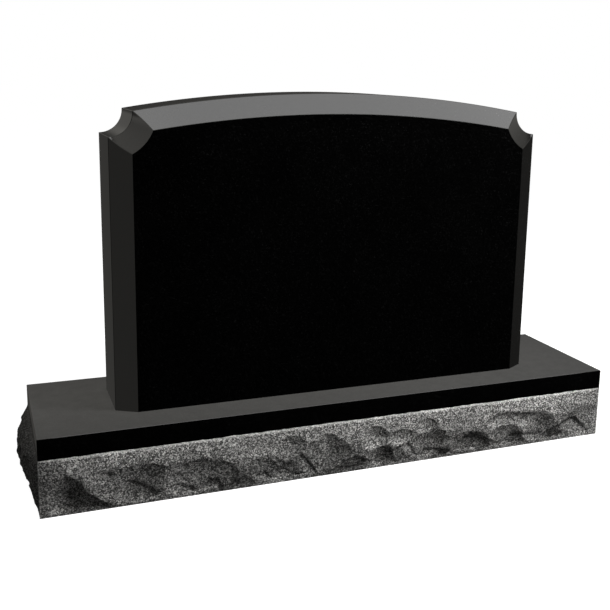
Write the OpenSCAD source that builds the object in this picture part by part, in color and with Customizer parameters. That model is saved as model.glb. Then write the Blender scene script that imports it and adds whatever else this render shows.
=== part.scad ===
// Upright headstone in two pieces of black granite. The tablet is polished all over and
// blank, with an arched top, a hollow cut into each upper corner and a wide bevel round
// the front face. It stands on a low base with a polished top and a polished margin, and
// rock-pitched sides below the margin.
// Millimetres, +Z up. The front faces -Y. The origin is the middle of the base's underside.

/* [Tablet] */
// Width across the two straight sides
tablet_width = 914; // [700:1:1000]
// Height from the base to the crown of the arch
tablet_height = 610; // [450:1:760]
// Thickness from the front face to the back face
tablet_depth = 152; // [100:1:200]
// Rise of the arched top, from its ends to the crown
arch_rise = 44; // [20:1:90]
// Radius of the hollow cut into each upper corner
hollow_radius = 45; // [25:1:70]
// Height of the hollow's centre above the corner that it takes off
hollow_lift = 6; // [0:1:10]
// Width of the bevel, seen from the front
bevel_width = 40; // [15:1:60]
// Depth of the bevel, back from the front face
bevel_depth = 23; // [8:1:45]

/* [Base] */
// Width of the polished top
base_width = 1219; // [1050:1:1400]
// Depth of the polished top, front to back
base_depth = 305; // [230:1:400]
// Height of the base
base_height = 152; // [110:1:250]
// Height of the polished margin above the rock face
margin_height = 41; // [20:1:60]

/* [Rock face] */
// How far the rock swells beyond the polished top at each end
end_swell = 30; // [10:1:45]
// How far the rock swells at the front and the back
face_swell = 14; // [6:1:24]
// Length over which the swell dies away into each upright corner
corner_run = 80; // [40:1:110]
// Height of the broken lip just under the margin
lip_height = 6; // [3:1:10]
// How far the lip stands out, as a share of the swell
lip_share = 0.3; // [0.1:0.05:0.5]
// Average length of one large spall
spall_length = 105; // [60:5:160]
// Number that sets the pattern of spalls
pattern = 5; // [1:1:50]

/* [Hidden] */

polished_black = "#1d1d1e";
rock_grey = "#4a4a49";

cut_slack = 5;            // how far a cutting tool runs past the face it cuts
arch_segments = 720;
hollow_segments = 96;

half_width = tablet_width / 2;
front_y = -tablet_depth / 2;
back_y = tablet_depth / 2;
arch_radius = (half_width * half_width + arch_rise * arch_rise) / (2 * arch_rise);
arch_centre_z = tablet_height - arch_radius;
hollow_z = tablet_height - arch_rise + hollow_lift;
bevel_slope = bevel_width / bevel_depth;

band_height = base_height - margin_height;
cell = 24;                // target size of one facet along a face
rock_rows = 9;            // rows of facets, the lip not counted
swell_peak = 0.55;        // height of the fullest line, as a share of the band

// A repeatable number from 0 to 1 for each whole number i
function scatter(i) =
    let (x = sin(i * 127.1 + pattern * 311.7) * 43758.5453)
    x - floor(x);

// A repeatable number from low to high
function pick(i, low, high) = low + (high - low) * scatter(i);

// Plain swollen section of the band at share t of its height, 0 to 1
function section_swell(t) = t < swell_peak
    ? 1 - pow((swell_peak - t) / swell_peak, 2)
    : 1 - (1 - lip_share) * pow((t - swell_peak) / (1 - swell_peak), 2);

// The swell dies away to nothing at both ends of a face of length face_length
function end_fade(s, face_length) =
    let (run = min(1, min(s, face_length - s) / corner_run))
    1 - pow(1 - run, 2);

// One spall is a shallow dish: [place along, place up, reach along, reach up, floor]
function lower_spalls(face_length, key) =
    let (n = max(2, round(face_length / spall_length)), pitch = face_length / n)
    [for (i = [0 : n - 1]) let (k = key + 10 * i) [
        pitch * (i + pick(k, 0.2, 0.8)),
        band_height * pick(k + 1, -0.05, 0.25),
        pitch * pick(k + 2, 0.45, 0.95),
        band_height * pick(k + 3, 0.45, 0.85),
        pick(k + 4, 0.05, 0.3)
    ]];

// Upper spalls are smaller and shallower and sit near the margin
function upper_spalls(face_length, key) =
    let (n = max(2, round(1.4 * face_length / spall_length)), pitch = face_length / n)
    [for (i = [0 : n - 1]) let (k = key + 500 + 10 * i) [
        pitch * (i + pick(k, 0.1, 0.9)),
        band_height * pick(k + 1, 0.5, 0.95),
        pitch * pick(k + 2, 0.5, 1),
        band_height * pick(k + 3, 0.3, 0.6),
        pick(k + 4, 0.4, 0.75)
    ]];

// Depth left by one spall at a place on the face, as a share of the swell
function dish(spall, s, z) =
    spall[4] + pow((s - spall[0]) / spall[2], 2) + pow((z - spall[1]) / spall[3], 2);

// How far the rock stands out, as a share of the swell, before it is evened up
function rock_share(s, z, face_length, spalls) =
    end_fade(s, face_length)
    * min(concat([section_swell(z / band_height)], [for (p = spalls) dish(p, s, z)]));

// Heights of the rings of corners, from the underside to the lip
function ring_z(row) = (band_height - lip_height) * row / rock_rows;

// Places along a face where facets meet, the last corner left to the next face
function columns(face_length) = max(6, round(face_length / cell));

// Stand-out of every corner on one face, [row][column], with its highest point at swell
function face_grid(face_length, swell, key) =
    let (
        spalls = concat(lower_spalls(face_length, key), upper_spalls(face_length, key)),
        n = columns(face_length),
        raw = [for (row = [0 : rock_rows]) [for (i = [0 : n - 1])
            rock_share(face_length * i / n, ring_z(row), face_length, spalls)]],
        top = max([for (row = raw) max(row)])
    )
    [for (row = raw) [for (v = row) v * swell / top]];

// The four faces in order round the base: start corner, direction, outward direction,
// length, swell and the key of its spalls
faces = [
    [[-base_width / 2, -base_depth / 2], [1, 0], [0, -1], base_width, face_swell, 1000],
    [[base_width / 2, -base_depth / 2], [0, 1], [1, 0], base_depth, end_swell, 2000],
    [[base_width / 2, base_depth / 2], [-1, 0], [0, 1], base_width, face_swell, 3000],
    [[-base_width / 2, base_depth / 2], [0, -1], [-1, 0], base_depth, end_swell, 4000]
];
grids = [for (f = faces) face_grid(f[3], f[4], f[5])];

// One ring of corners round the base; a row past the last is the flat margin line
function ring(row, z) = [for (k = [0 : 3]) let (f = faces[k], n = columns(f[3]))
    for (i = [0 : n - 1])
        let (out = row > rock_rows ? 0 : grids[k][row][i],
             p = f[0] + f[1] * f[3] * i / n + f[2] * out)
        [p[0], p[1], z]];

// Number of corners in a ring before face k begins
function face_start(k) = k == 0 ? 0 : face_start(k - 1) + columns(faces[k - 1][3]);

ring_size = face_start(4);

// Solid of revolution about the Y axis, from a profile of [radius, y] pairs
module turned(profile, x, z, segments)
    translate([x, 0, z])
        rotate([-90, 0, 0])
            rotate_extrude($fn = segments)
                polygon(profile);

// Plan of the tablet, with the side bevels, carried up past the crown
module tablet_plan()
    linear_extrude(tablet_height + cut_slack)
        polygon([
            [-half_width, back_y],
            [-half_width, front_y + bevel_depth],
            [-half_width + bevel_width, front_y],
            [half_width - bevel_width, front_y],
            [half_width, front_y + bevel_depth],
            [half_width, back_y]
        ]);

// Disc whose rim is the arched top and whose front cone is the top bevel
module arch_disc()
    turned([
        [0, front_y - cut_slack],
        [arch_radius - bevel_width - bevel_slope * cut_slack, front_y - cut_slack],
        [arch_radius, front_y + bevel_depth],
        [arch_radius, back_y + cut_slack],
        [0, back_y + cut_slack]
    ], 0, arch_centre_z, arch_segments);

// Tool that hollows one upper corner: a rod behind and a flared cone through the bevel
module corner_tool(side)
    turned([
        [0, front_y - cut_slack],
        [hollow_radius + bevel_width + bevel_slope * cut_slack, front_y - cut_slack],
        [hollow_radius, front_y + bevel_depth],
        [hollow_radius, back_y + cut_slack],
        [0, back_y + cut_slack]
    ], side * half_width, hollow_z, hollow_segments);

module tablet()
    color(polished_black)
        translate([0, 0, base_height])
            difference() {
                intersection() {
                    tablet_plan();
                    arch_disc();
                }
                for (side = [-1, 1])
                    corner_tool(side);
            }

module base() {
    margin_row = rock_rows + 1;
    corners = concat(
        [for (row = [0 : rock_rows]) each ring(row, ring_z(row))],
        ring(margin_row, band_height),
        [for (f = faces) [f[0][0], f[0][1], base_height]],
        [for (f = faces) [f[0][0], f[0][1], -cut_slack]]
    );
    low = margin_row * ring_size;
    first_top = low + ring_size;
    first_under = first_top + 4;
    skirt = [for (k = [0 : 3]) let (n = columns(faces[k][3]))
        concat([first_under + (k + 1) % 4, first_under + k],
            [for (i = [0 : n]) (face_start(k) + i) % ring_size])];
    under = [for (k = [0 : 3]) first_under + k];
    rock = [for (row = [0 : rock_rows], i = [0 : ring_size - 1])
        let (a = row * ring_size + i, b = row * ring_size + (i + 1) % ring_size,
             c = b + ring_size, d = a + ring_size)
        each (row + i) % 2 == 0 ? [[a, d, c], [a, c, b]] : [[a, d, b], [d, c, b]]];
    margin = [for (k = [0 : 3]) let (n = columns(faces[k][3]))
        concat([first_top + k, first_top + (k + 1) % 4],
            [for (i = [n : -1 : 0]) low + (face_start(k) + i) % ring_size])];
    top = [for (k = [3 : -1 : 0]) first_top + k];
    color(rock_grey)
        difference() {
            polyhedron(points = corners, faces = concat([under], skirt, rock, margin, [top]));
            translate([-base_width, -base_depth, -2 * cut_slack])
                cube([2 * base_width, 2 * base_depth, 2 * cut_slack]);
        }
}

tablet();
base();
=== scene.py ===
import math

import bmesh
import bpy
import numpy as np
from mathutils import Matrix, Vector


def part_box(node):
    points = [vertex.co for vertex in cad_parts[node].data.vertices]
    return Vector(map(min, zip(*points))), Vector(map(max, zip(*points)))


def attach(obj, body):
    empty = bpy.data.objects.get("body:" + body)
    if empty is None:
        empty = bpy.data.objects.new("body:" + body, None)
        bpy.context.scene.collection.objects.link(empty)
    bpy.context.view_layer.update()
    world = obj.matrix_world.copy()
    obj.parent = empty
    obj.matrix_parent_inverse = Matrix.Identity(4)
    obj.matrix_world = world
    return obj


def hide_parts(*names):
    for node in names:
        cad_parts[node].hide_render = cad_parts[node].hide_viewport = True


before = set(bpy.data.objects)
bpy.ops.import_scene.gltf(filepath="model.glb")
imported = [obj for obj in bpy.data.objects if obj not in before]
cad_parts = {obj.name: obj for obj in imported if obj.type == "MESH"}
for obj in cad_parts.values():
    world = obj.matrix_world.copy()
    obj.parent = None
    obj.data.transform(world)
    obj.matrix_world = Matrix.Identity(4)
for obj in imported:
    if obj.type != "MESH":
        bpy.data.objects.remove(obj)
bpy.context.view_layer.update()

# Upright headstone: a polished black granite tablet, arched, with a hollow cut into each
# upper corner and a wide bevel round its front, on a base with rock-pitched sides.
# Metres, in the CAD's frame: the front faces -Y and the base stands on z = 0.

# ---------------------------------------------------------------- sizes from the frame
BASE_LOW, BASE_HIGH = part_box("base")
TABLET_LOW, TABLET_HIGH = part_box("tablet")
BASE_TOP = BASE_HIGH.z

# Sizes that a node's box doesn't give, the same as in the CAD
END_SWELL = 0.030         # how far the rock swells past the polished top at each end
FACE_SWELL = 0.014        # and at the front and the back
MARGIN_HEIGHT = 0.041     # polished margin above the rock
ARCH_RISE = 0.044         # from the ends of the arched top to its crown
HOLLOW_RADIUS = 0.045     # of the hollow in each upper corner
HOLLOW_LIFT = 0.006       # height of the hollow's centre above the corner it takes off
BEVEL_WIDTH = 0.040       # seen from the front
BEVEL_DEPTH = 0.023       # back from the front face
CORNER_RUN = 0.080        # length over which the swell dies away into a corner
LIP_HEIGHT = 0.006        # broken lip just under the margin
LIP_SHARE = 0.3           # how far the lip stands out, as a share of the swell
SPALL_LENGTH = 0.105      # average length of one large spall
PATTERN = 5               # number that sets the pattern of spalls
SWELL_PEAK = 0.55         # height of the fullest line, as a share of the rock band
CAD_CELL = 0.024          # the CAD's facets: their length, and their rows below the lip
CAD_ROWS = 9

HALF_BASE_X = BASE_HIGH.x - END_SWELL
HALF_BASE_Y = BASE_HIGH.y - FACE_SWELL
BAND_HEIGHT = BASE_TOP - MARGIN_HEIGHT
LIP_FOOT = BAND_HEIGHT - LIP_HEIGHT

# Mesh of the visible pieces
EASE = 0.0009             # size of the eased arrises
ARRIS_SHARES = (0.0, 0.5, 1.0)
ARRIS_TURNS = np.radians((0, 30, 60, 90))
HOLLOW_POINTS = 30
ARCH_POINTS = 120
SIDE_POINTS = 9
ROCK_CELL = 0.00225       # target width of one rock face
ROCK_ROWS = 46            # rows of corners up to the foot of the lip
LIP_DROPS = np.array([0.66, 0.36, 0.15, 0.0])     # rows of the lip, down from the margin

# Relief that the fine rock adds to the CAD's swell
FACET_LAYERS = ((0.032, 1.3, 0.5, 0.45), (0.012, 1.6, 0.7, 0.4), (0.0045, 1.6, 0.8, 0.4))
FACET_DEPTHS_END = (0.0055, 0.0026, 0.0008)
FACET_DEPTHS_FACE = (0.0020, 0.0008, 0.0004)
CHIP_LAYERS = ((0.110, 0.056, 0.0040), (0.045, 0.034, 0.0030))   # pitch, crest, depth
LEDGE_POWER_END = 1.2
LEDGE_POWER_FACE = 2.5
GRAIN_DEPTH = 0.00022
MARGIN_WAVER = 0.0004     # unevenness of the margin line, and the length of one waver
WAVER_LENGTH = 0.009
DEEPEST = -0.002          # furthest that the rock may lie inside the margin
CLEARANCE = 0.0003        # kept between the rock and the CAD's box

# Camera: turn to the right, down and in its own plane, in degrees
CAMERA_TURNS = (21.81, 11.16, -1.18)
CAMERA_PLACE = (-0.6819, -1.7339, 0.8008)
CAMERA_LENS = 52.98
CAMERA_SHIFT = (-0.0467, -0.0893)

FLOOR_RADIUS = 40
DOME_RADIUS = 39

# What the polished faces reflect. Each wall is a direction, the cosines at which it starts
# and is full, its brightness, and the heights between which it fades in.
WALLS = (
    ((-0.76, -0.61, -0.20), 0.85, 0.96, 0.72, -2.0, -1.9),
    ((-0.45, -0.67, 0.50), 0.78, 0.90, 1.75, 0.00, 0.16),
    ((0.95, -0.15, 0.25), 0.85, 0.97, 0.9, -0.06, 0.02),
    ((0.98, 0.06, -0.17), 0.80, 0.97, 0.10, -2.0, -1.9),
    ((-0.30, 0.93, 0.14), 0.90, 0.985, 0.14, -0.06, 0.00),
    ((-0.20, 0.97, -0.22), 0.94, 0.985, 0.024, -0.03, -0.08),
    ((0.15, 0.91, 0.45), 0.74, 0.93, 0.54, 0.12, 0.30))

# Lamps: name, place, target, width, height, radiance. The first is seen only in polished
# faces, and the others only light them.
MIRRORED_PANEL = ("bevel_light", (1.025, -1.3, 2.6), (0.925, -0.3, 0.3), 2.90, 1.2, 7.5)
PANELS = (
    ("key", (1.3, -0.9, 1.8), (0.1, -0.15, 0.1), 0.7, 0.5, 82),
    ("front_fill", (0.2, -3.0, 0.8), (0, 0, 0.2), 1.5, 1.5, 0.8),
    ("left_fill", (-2.5, -0.6, 1.2), (-0.6, 0, 0.1), 1.0, 1.0, 0.4),
    ("right_fill", (2.8, 0.5, 0.9), (0.6, 0, 0.1), 1.4, 1.4, 1.4),
    ("overhead", (0.2, 0.5, 3.0), (0, 0, 0.2), 2.5, 2.0, 0.5),
    ("back_fill", (0.9, 2.4, 2.2), (0, 0, 0.3), 2.2, 1.4, 2.0))


# ---------------------------------------------------------------- mesh helpers
def new_object(name, bm, materials, smooth_under):
    """Makes an object of bm. Edges flatter than smooth_under degrees are shaded smooth."""
    bmesh.ops.recalc_face_normals(bm, faces=bm.faces)
    limit = math.radians(smooth_under)
    for edge in bm.edges:
        edge.smooth = len(edge.link_faces) == 2 and edge.calc_face_angle(0) < limit
    for face in bm.faces:
        face.smooth = True
    mesh = bpy.data.meshes.new(name)
    bm.to_mesh(mesh)
    bm.free()
    for material in materials:
        mesh.materials.append(material)
    obj = bpy.data.objects.new(name, mesh)
    bpy.context.scene.collection.objects.link(obj)
    return obj


# ---------------------------------------------------------------- tablet
def arc(centre, radius, start, end, count):
    """Points on a circle in (x, z), from one angle to another, both included."""
    return [(centre[0] + radius * math.cos(a), centre[1] + radius * math.sin(a))
            for a in np.linspace(start, end, count)]


def outline(inset):
    """The tablet's outline in (x, z) from its right foot round, moved inwards by inset.

    The sides, the arch and the hollows all move together, as on the bevel. The corners
    where they meet are eased by a short chord on each side of the corner.
    """
    half = TABLET_HIGH.x
    crown = TABLET_HIGH.z
    radius = (half * half + ARCH_RISE * ARCH_RISE) / (2 * ARCH_RISE)
    arch_centre = (0.0, crown - radius)
    corner = (half, crown - ARCH_RISE + HOLLOW_LIFT)
    r_hollow, r_arch = HOLLOW_RADIUS + inset, radius - inset
    side_x = half - inset

    low = -math.acos(-inset / r_hollow)               # hollow meets the straight side
    gap = math.hypot(corner[0] - arch_centre[0], corner[1] - arch_centre[1])
    lean = math.atan2(arch_centre[1] - corner[1], arch_centre[0] - corner[0])
    open_angle = math.acos((gap * gap + r_hollow * r_hollow - r_arch * r_arch)
                           / (2 * gap * r_hollow))
    high = lean - open_angle                          # hollow meets the arch
    while high > low:
        high -= 2 * math.pi
    trim = EASE / r_hollow
    hollow = arc(corner, r_hollow, low - trim, high + trim, HOLLOW_POINTS)

    meet = (corner[0] + r_hollow * math.cos(high), corner[1] + r_hollow * math.sin(high))
    arch_start = math.atan2(meet[1] - arch_centre[1], meet[0] - arch_centre[0])
    arch_trim = EASE / r_arch
    top = arc(arch_centre, r_arch, arch_start + arch_trim,
              math.pi - arch_start - arch_trim, ARCH_POINTS)

    side_top = corner[1] + r_hollow * math.sin(low)
    side = [(side_x, z) for z in np.linspace(TABLET_LOW.z, side_top - EASE, SIDE_POINTS)]
    corner_low = (side_x - 0.3 * EASE, side_top - 0.3 * EASE)
    toward = (Vector(meet) - Vector((0, TABLET_LOW.z))).normalized()
    corner_high = (meet[0] - 0.4 * EASE * toward.x, meet[1] - 0.4 * EASE * toward.y)

    right = side + [corner_low] + hollow + [corner_high]
    left = [(-x, z) for x, z in reversed(right)]
    return right + top + left


def make_tablet(material):
    """The tablet: one closed skin of rings, with both flat faces as single polygons."""
    front, back = TABLET_LOW.y, TABLET_HIGH.y
    slope = math.atan2(BEVEL_DEPTH, BEVEL_WIDTH)
    ease_in, ease_back = EASE * math.cos(slope), EASE * math.sin(slope)
    # Profile from the front face to the back face: (inset, y)
    profile = []
    for share in ARRIS_SHARES:                        # front arris
        profile.append((BEVEL_WIDTH + EASE * (1 - share) ** 2 - ease_in * share ** 2,
                        front + ease_back * share ** 2))
    for share in np.linspace(0, 1, 10)[1:-1]:         # bevel
        profile.append((BEVEL_WIDTH * (1 - share), front + BEVEL_DEPTH * share))
    edge = front + BEVEL_DEPTH
    for share in ARRIS_SHARES:                        # arris behind the bevel
        profile.append((ease_in * (1 - share) ** 2,
                        edge - ease_back * (1 - share) ** 2 + EASE * share ** 2))
    for y in np.linspace(edge + EASE, back - EASE, 5)[1:-1]:
        profile.append((0.0, y))
    for turn in ARRIS_TURNS:                          # back arris
        profile.append((EASE * (1 - math.cos(turn)), back - EASE * (1 - math.sin(turn))))

    bm = bmesh.new()
    rings = []
    for inset, y in profile:
        rings.append([bm.verts.new((x, y, z)) for x, z in outline(inset)])
    for a, b in zip(rings, rings[1:]):
        for i in range(len(a)):
            j = (i + 1) % len(a)
            bm.faces.new((a[i], a[j], b[j], b[i]))
    bm.faces.new(rings[0])
    bm.faces.new(rings[-1])
    return new_object("headstone_tablet", bm, [material], smooth_under=7)


# ---------------------------------------------------------------- base
def scatter(i):
    """The CAD's repeatable number from 0 to 1 for each whole number i."""
    x = math.sin(math.radians(i * 127.1 + PATTERN * 311.7)) * 43758.5453
    return x - math.floor(x)


def pick(i, low, high):
    """The CAD's repeatable number from low to high."""
    return low + (high - low) * scatter(i)


def spalls(length, key):
    """The CAD's large spalls: place along, place up, reach along, reach up, floor."""
    found = []
    count = max(2, round(length / SPALL_LENGTH))
    pitch = length / count
    for i in range(count):
        k = key + 10 * i
        found.append((pitch * (i + pick(k, 0.2, 0.8)),
                      BAND_HEIGHT * pick(k + 1, -0.05, 0.25),
                      pitch * pick(k + 2, 0.45, 0.95),
                      BAND_HEIGHT * pick(k + 3, 0.45, 0.85),
                      pick(k + 4, 0.05, 0.3)))
    count = max(2, round(1.4 * length / SPALL_LENGTH))
    pitch = length / count
    for i in range(count):
        k = key + 500 + 10 * i
        found.append((pitch * (i + pick(k, 0.1, 0.9)),
                      BAND_HEIGHT * pick(k + 1, 0.5, 0.95),
                      pitch * pick(k + 2, 0.5, 1),
                      BAND_HEIGHT * pick(k + 3, 0.3, 0.6),
                      pick(k + 4, 0.4, 0.75)))
    return found


def end_fade(s, length):
    """1 along most of a face, dying away to 0 at both of its ends."""
    run = np.minimum(1, np.minimum(s, length - s) / CORNER_RUN)
    return 1 - (1 - run) ** 2


def rock_share(s, z, length, dishes):
    """The CAD's swell at a place on a face, as a share of the full swell."""
    t = z / BAND_HEIGHT
    share = np.where(t < SWELL_PEAK, 1 - ((SWELL_PEAK - t) / SWELL_PEAK) ** 2,
                     1 - (1 - LIP_SHARE) * ((t - SWELL_PEAK) / (1 - SWELL_PEAK)) ** 2)
    for along, up, reach_s, reach_z, floor in dishes:
        share = np.minimum(share, floor + ((s - along) / reach_s) ** 2
                           + ((z - up) / reach_z) ** 2)
    return end_fade(s, length) * share


def facets(s, z, size, rng, tilt, bowl):
    """Broken facets about size across: 0 to about 1, with sharp ridges between them.

    Each has a random middle, depth and tilt, and is hollowed by bowl. The lowest of those
    round a place counts there.
    """
    cols, rows = int(s.max() / size) + 8, int(z.max() / size) + 8
    table = rng.random((cols, rows, 5))
    col, row = np.floor(s / size).astype(int), np.floor(z / size).astype(int)
    best = np.full(s.shape, 9.0)
    for dc in range(-2, 3):
        for dr in range(-2, 3):
            c, r = col + dc, row + dr
            pit = table[np.clip(c + 3, 0, cols - 1), np.clip(r + 3, 0, rows - 1)]
            ds = s / size - (c + pit[..., 0])
            dz = z / size - (r + pit[..., 1])
            best = np.minimum(best, 0.5 * pit[..., 2] + bowl * (ds * ds + dz * dz)
                              + tilt * ((pit[..., 3] - 0.5) * ds + (pit[..., 4] - 0.5) * dz))
    return best


def chips(s, z, length, rng, pitch, crest, depth):
    """Depth of chips in the lower half: each has a peaked upper edge and reaches the bed."""
    count = max(2, round(length / pitch))
    cut = np.zeros(s.shape)
    for i in range(count):
        along, reach, top, lean, deep = rng.random(5)
        half = pitch * (0.45 + 0.45 * reach)
        u = (s - length * (i + along) / count) / half
        peak = 1.1 * (lean - 0.5)
        side = np.where(u > peak, (u - peak) / (1 - peak), (peak - u) / (1 + peak))
        edge = crest * (0.50 + 0.60 * top) * (1 - np.clip(side, 0, 1) ** 1.4)
        below = edge - z
        # A sharp step under the edge, and a slower one below it
        under = 0.6 * np.clip(below / 0.007, 0, 1) + 0.4 * np.clip(below / 0.035, 0, 1)
        cut = np.maximum(cut, under * depth * (0.6 + 0.6 * deep))
    return cut * np.clip(z / 0.012, 0, 1)


def rock_face(length, swell, key, count, heights):
    """Stand-out of the fine rock at every corner of one face, as [row, column]."""
    dishes = spalls(length, key)
    # The CAD evens its swell up by the highest of its own coarse corners
    coarse_s = np.arange(max(6, round(length / CAD_CELL))) * length
    coarse_s = coarse_s / len(coarse_s)
    coarse_z = LIP_FOOT * np.arange(CAD_ROWS + 1) / CAD_ROWS
    top = rock_share(*np.meshgrid(coarse_s, coarse_z), length, dishes).max()

    s, z = np.meshgrid(np.arange(count) * length / count, heights)
    out = rock_share(s, np.minimum(z, LIP_FOOT), length, dishes) / top * swell
    at_end = swell > FACE_SWELL
    rng = np.random.default_rng(key)
    # Nothing is added at the upright corners, the bed or the margin
    fade = (end_fade(s, length) * np.clip(z / 0.012, 0, 1)
            * np.clip((BAND_HEIGHT - z) / 0.010, 0, 1))
    broken = 0
    depths = FACET_DEPTHS_END if at_end else FACET_DEPTHS_FACE
    for depth, (size, tilt, bowl, level) in zip(depths, FACET_LAYERS):
        broken = broken + depth * (facets(s, z, size, rng, tilt, bowl) - level)
    out = out + fade * broken
    out = out - end_fade(s, length) * np.maximum(
        *[chips(s, z, length, rng, *layer) for layer in CHIP_LAYERS])
    # The lip breaks back to the margin in a narrow, nearly level ledge
    ledge = LEDGE_POWER_END if at_end else LEDGE_POWER_FACE
    out = out * (1 - np.clip(1 - (BAND_HEIGHT - z) / LIP_HEIGHT, 0, 1) ** ledge)
    grain = GRAIN_DEPTH * rng.standard_normal(out.shape) * np.clip(fade * 3, 0, 1)
    return np.clip(out + grain, DEEPEST, swell - CLEARANCE)


def make_base(rock, honed, polished):
    """The base: split rock below, an upright polished margin and a honed top."""
    heights = np.concatenate([np.linspace(0, LIP_FOOT, ROCK_ROWS),
                              BAND_HEIGHT - LIP_HEIGHT * LIP_DROPS])
    hx, hy = HALF_BASE_X, HALF_BASE_Y
    # Start corner, direction, outward direction, length, swell and key of each face
    sides = (((-hx, -hy), (1, 0), (0, -1), 2 * hx, FACE_SWELL, 1000),
             ((hx, -hy), (0, 1), (1, 0), 2 * hy, END_SWELL, 2000),
             ((hx, hy), (-1, 0), (0, 1), 2 * hx, FACE_SWELL, 3000),
             ((-hx, hy), (0, -1), (-1, 0), 2 * hy, END_SWELL, 4000))
    grids, starts, total = [], [], 0
    for start, along, outward, length, swell, key in sides:
        count = round(length / ROCK_CELL)
        out = rock_face(length, swell, key, count, heights)
        s = np.arange(count) * length / count
        x = start[0] + along[0] * s + outward[0] * out
        y = start[1] + along[1] * s + outward[1] * out
        rng = np.random.default_rng(key + 7)
        wavers = int(length / WAVER_LENGTH)
        line = MARGIN_WAVER * np.interp(s, np.linspace(0, length, wavers),
                                        rng.standard_normal(wavers))
        line *= end_fade(s, length)
        z = np.repeat(heights[:, None], count, axis=1)
        z[-len(LIP_DROPS):] += (1 - LIP_DROPS)[:, None] * line
        grids.append(np.stack([x, y, z], axis=-1))
        starts.append(total)
        total += count
    points = np.concatenate(grids, axis=1)

    bm = bmesh.new()
    rings = [[bm.verts.new(p) for p in ring] for ring in points]
    for low, high in zip(rings, rings[1:]):
        for i in range(total):
            j = (i + 1) % total
            bm.faces.new((low[i], low[j], high[j], high[i]))
    bm.faces.new(rings[0])
    corners = ((-1, -1), (1, -1), (1, 1), (-1, 1))
    levels = []                                       # rings of the eased upper arris
    for turn in ARRIS_TURNS:
        inset = EASE * (1 - math.cos(turn))
        z = BASE_TOP - EASE * (1 - math.sin(turn))
        levels.append([bm.verts.new((a * (hx - inset), b * (hy - inset), z))
                       for a, b in corners])
    for k in range(4):
        after = (k + 1) % 4
        end = starts[after] if after else total
        bottom = [rings[-1][i % total] for i in range(starts[k], end + 1)]
        bm.faces.new(bottom + [levels[0][after], levels[0][k]]).material_index = 2
        for a, b in zip(levels, levels[1:]):
            bm.faces.new((a[k], a[after], b[after], b[k])).material_index = 2
    bm.faces.new(levels[-1]).material_index = 1
    return new_object("headstone_base", bm, [rock, honed, polished], smooth_under=24)


# ---------------------------------------------------------------- materials
class Nodes:
    """Small helper that adds nodes to a material or a world and links them."""

    def __init__(self, owner):
        owner.use_nodes = True
        self.tree = owner.node_tree
        self.tree.nodes.clear()

    def add(self, kind, inputs=None, **settings):
        node = self.tree.nodes.new(kind)
        for name, value in settings.items():
            setattr(node, name, value)
        for name, value in (inputs or {}).items():
            socket = node.inputs[name]
            if isinstance(value, bpy.types.NodeSocket):
                self.tree.links.new(value, socket)
            else:
                socket.default_value = value
        return node

    def math(self, operation, a, b=0.0):
        return self.add("ShaderNodeMath", {0: a, 1: b}, operation=operation).outputs[0]

    def remap(self, value, low, high, to_low, to_high, smooth=False):
        node = self.add("ShaderNodeMapRange", {"Value": value, "From Min": low,
                        "From Max": high, "To Min": to_low, "To Max": to_high},
                        interpolation_type="SMOOTHSTEP" if smooth else "LINEAR")
        return node.outputs["Result"]

    def ramp(self, value, stops):
        node = self.add("ShaderNodeValToRGB", {"Fac": value})
        band = node.color_ramp
        while len(band.elements) > 1:
            band.elements.remove(band.elements[-1])
        band.elements[0].position = stops[0][0]
        band.elements[0].color = (*stops[0][1], 1)
        for place, colour in stops[1:]:
            band.elements.new(place).color = (*colour, 1)
        return node.outputs["Color"]

    def mix(self, factor, a, b):
        node = self.add("ShaderNodeMix", {"Factor": factor}, data_type="RGBA")
        for name, value in (("A", a), ("B", b)):
            socket = next(s for s in node.inputs if s.name == name and s.type == "RGBA")
            if isinstance(value, bpy.types.NodeSocket):
                self.tree.links.new(value, socket)
            else:
                socket.default_value = (*value, 1)
        return next(s for s in node.outputs if s.type == "RGBA")


def grey(value):
    return (value, value, value)


def crystals(nodes, place, size, seed):
    """One random number for each crystal of the stone, crystals about size across."""
    spot = nodes.add("ShaderNodeVectorMath", {0: place, 1: (seed, seed * 0.7, seed * 0.3)},
                     operation="ADD").outputs[0]
    cells = nodes.add("ShaderNodeTexVoronoi", {"Vector": spot, "Scale": 1 / size},
                      feature="F1")
    parts = nodes.add("ShaderNodeSeparateColor", {"Color": cells.outputs["Color"]})
    return parts.outputs["Red"]


def cloud(nodes, place, size, detail=3.0):
    """Soft noise with features about size across."""
    return nodes.add("ShaderNodeTexNoise", {"Vector": place, "Scale": 1 / size,
                     "Detail": detail, "Roughness": 0.55}).outputs["Fac"]


def polished_granite():
    material = bpy.data.materials.new("polished_granite")
    nodes = Nodes(material)
    place = nodes.add("ShaderNodeTexCoord").outputs["Object"]
    tone = crystals(nodes, place, 0.0016, 3.1)
    body = nodes.ramp(tone, ((0.0, grey(0.0004)), (0.75, grey(0.0008)),
                             (0.95, grey(0.0020)), (1.0, grey(0.006))))
    patch = nodes.remap(cloud(nodes, place, 0.12), 0.3, 0.7, 0.75, 1.25)
    colour = nodes.add("ShaderNodeVectorMath", {0: body, "Scale": patch},
                       operation="SCALE").outputs[0]
    rough = nodes.remap(cloud(nodes, place, 0.02, 5.0), 0.3, 0.7, 0.055, 0.085)
    wave = nodes.add("ShaderNodeBump", {"Height": cloud(nodes, place, 0.05, 2.0),
                     "Strength": 0.05, "Distance": 0.0004})
    shader = nodes.add("ShaderNodeBsdfPrincipled", {
        "Base Color": colour, "Roughness": rough, "Normal": wave.outputs["Normal"],
        "IOR": 1.5, "Specular IOR Level": 0.25})
    nodes.add("ShaderNodeOutputMaterial", {"Surface": shader.outputs[0]})
    return material


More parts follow.
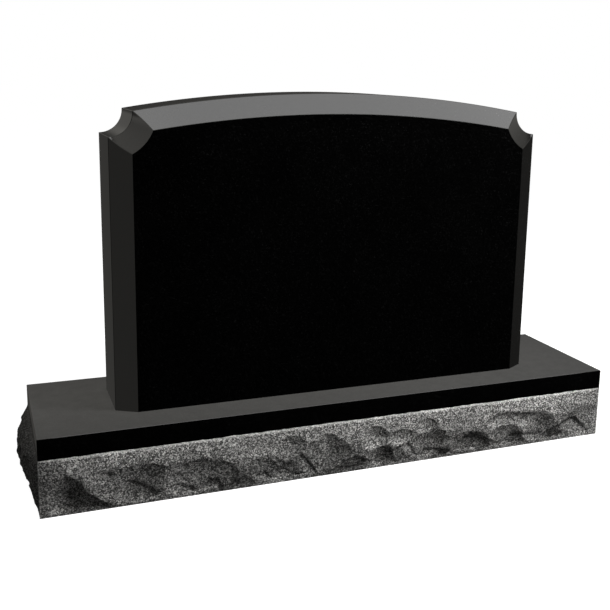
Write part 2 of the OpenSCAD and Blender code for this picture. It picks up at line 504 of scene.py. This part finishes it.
def honed_granite():
    material = bpy.data.materials.new("base_granite_top")
    nodes = Nodes(material)
    place = nodes.add("ShaderNodeTexCoord").outputs["Object"]
    tone = crystals(nodes, place, 0.0018, 8.4)
    body = nodes.ramp(tone, ((0.0, grey(0.013)), (0.5, grey(0.017)), (0.85, grey(0.020)),
                             (1.0, grey(0.028))))
    patch = nodes.remap(cloud(nodes, place, 0.15), 0.3, 0.7, 0.95, 1.05)
    colour = nodes.add("ShaderNodeVectorMath", {0: body, "Scale": patch},
                       operation="SCALE").outputs[0]
    rough = nodes.remap(cloud(nodes, place, 0.03, 4.0), 0.3, 0.7, 0.36, 0.44)
    pits = nodes.add("ShaderNodeBump", {"Height": cloud(nodes, place, 0.0015, 2.0),
                     "Strength": 0.1, "Distance": 0.0002})
    shader = nodes.add("ShaderNodeBsdfPrincipled", {
        "Base Color": colour, "Roughness": rough, "Normal": pits.outputs["Normal"],
        "IOR": 1.5, "Specular IOR Level": 0.25})
    nodes.add("ShaderNodeOutputMaterial", {"Surface": shader.outputs[0]})
    return material


def rock_granite():
    material = bpy.data.materials.new("base_granite")
    nodes = Nodes(material)
    place = nodes.add("ShaderNodeTexCoord").outputs["Object"]
    tone = crystals(nodes, place, 0.0021, 1.7)
    body = nodes.ramp(tone, ((0.0, (0.024, 0.024, 0.023)), (0.35, (0.080, 0.079, 0.076)),
                             (0.60, (0.22, 0.217, 0.21)), (0.82, (0.41, 0.405, 0.39)),
                             (1.0, (0.66, 0.65, 0.63))))
    fine = crystals(nodes, place, 0.0011, 5.2)
    body = nodes.mix(nodes.remap(fine, 0.3, 1.0, 0.0, 0.5), body, grey(0.05))
    # Bruised, paler stone along the margin line and the upright arrises
    parts = nodes.add("ShaderNodeSeparateXYZ", {0: place}).outputs
    rim = nodes.remap(parts["Z"], BAND_HEIGHT - 0.0035, BAND_HEIGHT - 0.0010, 0.0, 0.45)
    across = nodes.math("SUBTRACT", HALF_BASE_X, nodes.math("ABSOLUTE", parts["X"]))
    inward = nodes.math("SUBTRACT", HALF_BASE_Y, nodes.math("ABSOLUTE", parts["Y"]))
    arris = nodes.remap(nodes.math("MAXIMUM", across, inward), 0.0, 0.0035, 0.6, 0.0)
    wear = nodes.math("MULTIPLY", nodes.math("MAXIMUM", rim, arris),
                      nodes.remap(cloud(nodes, place, 0.004), 0.35, 0.65, 0.25, 1.0))
    body = nodes.mix(wear, body, (0.52, 0.515, 0.50))
    patch = nodes.remap(cloud(nodes, place, 0.06), 0.3, 0.7, 0.8, 1.2)
    colour = nodes.add("ShaderNodeVectorMath", {0: body, "Scale": patch},
                       operation="SCALE").outputs[0]
    grains = nodes.math("ADD", nodes.math("MULTIPLY", tone, 0.6),
                        cloud(nodes, place, 0.002, 3.0))
    relief = nodes.add("ShaderNodeBump", {"Height": grains, "Strength": 0.55,
                       "Distance": 0.0008})
    rough = nodes.remap(tone, 0.0, 1.0, 0.7, 0.9)
    shader = nodes.add("ShaderNodeBsdfPrincipled", {
        "Base Color": colour, "Roughness": rough, "Normal": relief.outputs["Normal"],
        "IOR": 1.5, "Specular IOR Level": 0.08})
    nodes.add("ShaderNodeOutputMaterial", {"Surface": shader.outputs[0]})
    return material


# ---------------------------------------------------------------- camera
def make_camera():
    yaw, pitch, roll = np.radians(CAMERA_TURNS)
    ahead = Vector((math.sin(yaw) * math.cos(pitch), math.cos(yaw) * math.cos(pitch),
                    -math.sin(pitch)))
    right = Vector((math.cos(yaw), -math.sin(yaw), 0))
    down = ahead.cross(right)
    side = math.cos(roll) * right + math.sin(roll) * down
    lower = -math.sin(roll) * right + math.cos(roll) * down
    data = bpy.data.cameras.new("camera")
    data.lens = CAMERA_LENS
    data.shift_x, data.shift_y = CAMERA_SHIFT
    camera = bpy.data.objects.new("camera", data)
    camera.matrix_world = (Matrix.Translation(CAMERA_PLACE)
                           @ Matrix((side, -lower, -ahead)).transposed().to_4x4())
    bpy.context.scene.collection.objects.link(camera)
    bpy.context.scene.camera = camera


# ---------------------------------------------------------------- stage and light
def make_stage():
    """Floor and dome that look pure white and neither light the stone nor mirror in it."""
    white = bpy.data.materials.new("stage_white")
    nodes = Nodes(white)
    shader = nodes.add("ShaderNodeBsdfPrincipled", {
        "Base Color": (0.25, 0.25, 0.25, 1), "Roughness": 0.9, "Specular IOR Level": 0.0,
        "Emission Color": (1, 1, 1, 1), "Emission Strength": 1.0})
    nodes.add("ShaderNodeOutputMaterial", {"Surface": shader.outputs[0]})
    glow = bpy.data.materials.new("stage_glow")
    nodes = Nodes(glow)
    light = nodes.add("ShaderNodeEmission", {"Color": (1, 1, 1, 1), "Strength": 1.0})
    nodes.add("ShaderNodeOutputMaterial", {"Surface": light.outputs[0]})

    bm = bmesh.new()
    bmesh.ops.create_circle(bm, cap_ends=True, segments=64, radius=FLOOR_RADIUS)
    floor = new_object("stage_floor", bm, [white], smooth_under=10)
    bm = bmesh.new()
    bmesh.ops.create_icosphere(bm, subdivisions=4, radius=DOME_RADIUS)
    dome = new_object("stage_dome", bm, [glow], smooth_under=60)
    for obj in (floor, dome):
        obj.visible_diffuse = obj.visible_glossy = obj.visible_shadow = False


def make_panel(name, place, target, width, height, radiance, mirrored=False):
    """An area lamp. A mirrored one shows only in reflections, another only lights."""
    data = bpy.data.lights.new(name, "AREA")
    data.shape = "RECTANGLE"
    data.size, data.size_y = width, height
    data.energy = radiance * math.pi * width * height
    lamp = bpy.data.objects.new(name, data)
    away = (Vector(place) - Vector(target)).normalized()
    up = away.cross(Vector((1, 0, 0))).normalized()
    axes = Matrix((up.cross(away), up, away)).transposed()
    lamp.matrix_world = Matrix.Translation(place) @ axes.to_4x4()
    lamp.visible_camera = False
    lamp.visible_glossy = mirrored
    lamp.visible_diffuse = not mirrored
    bpy.context.scene.collection.objects.link(lamp)


def make_world():
    """What the polished faces reflect: a dark room with a few broad pale walls.

    Diffuse light comes from the panels alone.
    """
    world = bpy.data.worlds.new("studio")
    bpy.context.scene.world = world
    nodes = Nodes(world)
    ray = nodes.add("ShaderNodeTexCoord").outputs["Generated"]
    parts = nodes.add("ShaderNodeSeparateXYZ", {0: ray}).outputs
    # The room behind is darker low down in the middle, where the base's end reflects it
    rear = nodes.remap(parts["Y"], -0.3, 0.5, 0.003, 0.05, smooth=True)
    lit = nodes.math("MAXIMUM", nodes.remap(parts["Z"], -0.28, -0.20, 0.05, 1.0),
                     nodes.remap(parts["X"], -0.10, -0.06, 1.0, 0.05))
    behind = nodes.math("MULTIPLY", rear, lit)
    ceiling = nodes.remap(parts["Z"], 0.15, 0.9, 0.0, 0.5, smooth=True)
    total = nodes.math("ADD", ceiling, behind)
    for direction, start, full, bright, low, high in WALLS:
        near = nodes.add("ShaderNodeVectorMath",
                         {0: ray, 1: Vector(direction).normalized()},
                         operation="DOT_PRODUCT").outputs["Value"]
        glow = nodes.remap(near, start, full, 0.0, bright, smooth=True)
        rise = nodes.remap(parts["Z"], low, high, 0.0, 1.0, smooth=True)
        total = nodes.math("ADD", total, nodes.math("MULTIPLY", glow, rise))
    back = nodes.add("ShaderNodeBackground", {"Color": (1.0, 0.975, 0.91, 1),
                     "Strength": total})
    nodes.add("ShaderNodeOutputWorld", {"Surface": back.outputs[0]})
    world.cycles_visibility.diffuse = False


# ---------------------------------------------------------------- build
polished = polished_granite()
tablet = make_tablet(polished)
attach(tablet, "root")
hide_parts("tablet")

base = make_base(rock_granite(), honed_granite(), polished)
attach(base, "root")
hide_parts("base")

make_camera()
make_stage()
make_world()
# Neither piece shows in the other's polish
tablet.visible_glossy = base.visible_glossy = False
make_panel(*MIRRORED_PANEL, mirrored=True)
for panel in PANELS:
    make_panel(*panel)
bpy.context.scene.view_settings.view_transform = "Standard"
